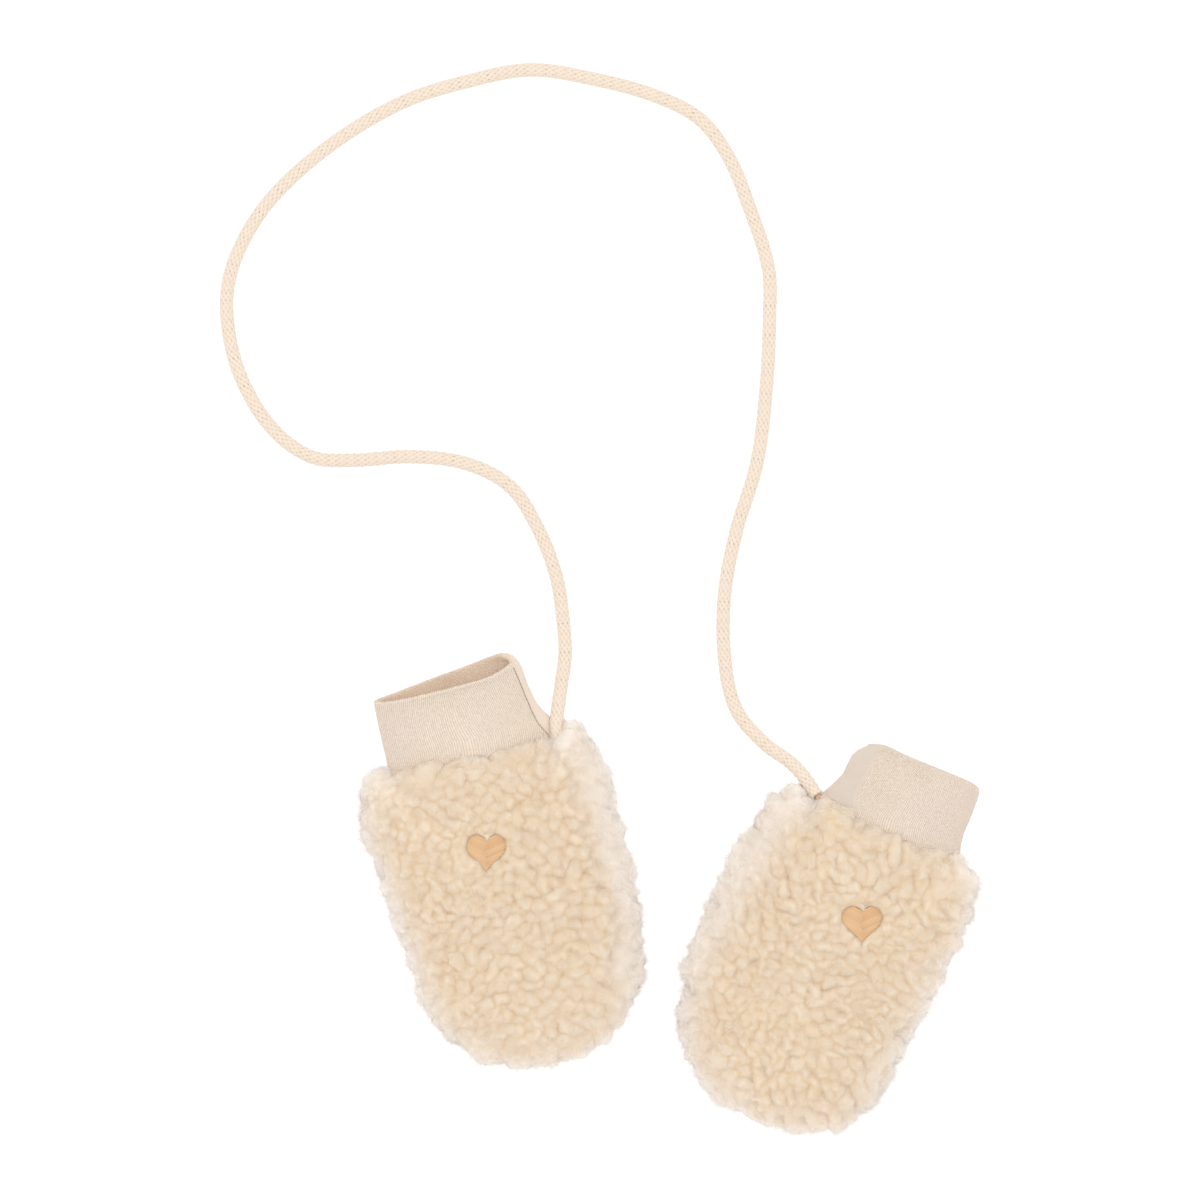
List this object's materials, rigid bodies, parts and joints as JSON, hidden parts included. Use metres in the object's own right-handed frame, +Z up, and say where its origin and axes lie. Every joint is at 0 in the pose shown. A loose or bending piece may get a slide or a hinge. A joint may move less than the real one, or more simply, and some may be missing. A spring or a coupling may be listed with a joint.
{
  "type": "pair of baby mittens on a cord",
  "caption": "Thumbless baby mittens of curly pile cloth with jersey cuffs, joined by a long braided cord and laid flat.",
  "frame": {"origin": "bottom centre of the box round the two mittens, the cord left out, on the surface they lie on", "axes": "+Z up from the surface, +X from the left mitten to the right one, +Y from the mittens towards the cord's loop"},
  "size_m": [0.2887, 0.4081, 0.0278],
  "materials": {
    "pile_cloth": "matt curly pile, cream",
    "cuff_jersey": "matt fine knit, beige cream",
    "cord_cotton": "matt braided cotton, peach cream",
    "motif_thread": "satin stitched thread, apricot"
  },
  "bodies": {
    "root": {"left_back_panel": "pile_cloth", "left_palm_panel": "pile_cloth", "left_cuff": "cuff_jersey", "right_back_panel": "pile_cloth", "right_palm_panel": "pile_cloth", "right_cuff": "cuff_jersey", "cord": "cord_cotton"}
  },
  "joints": []
}
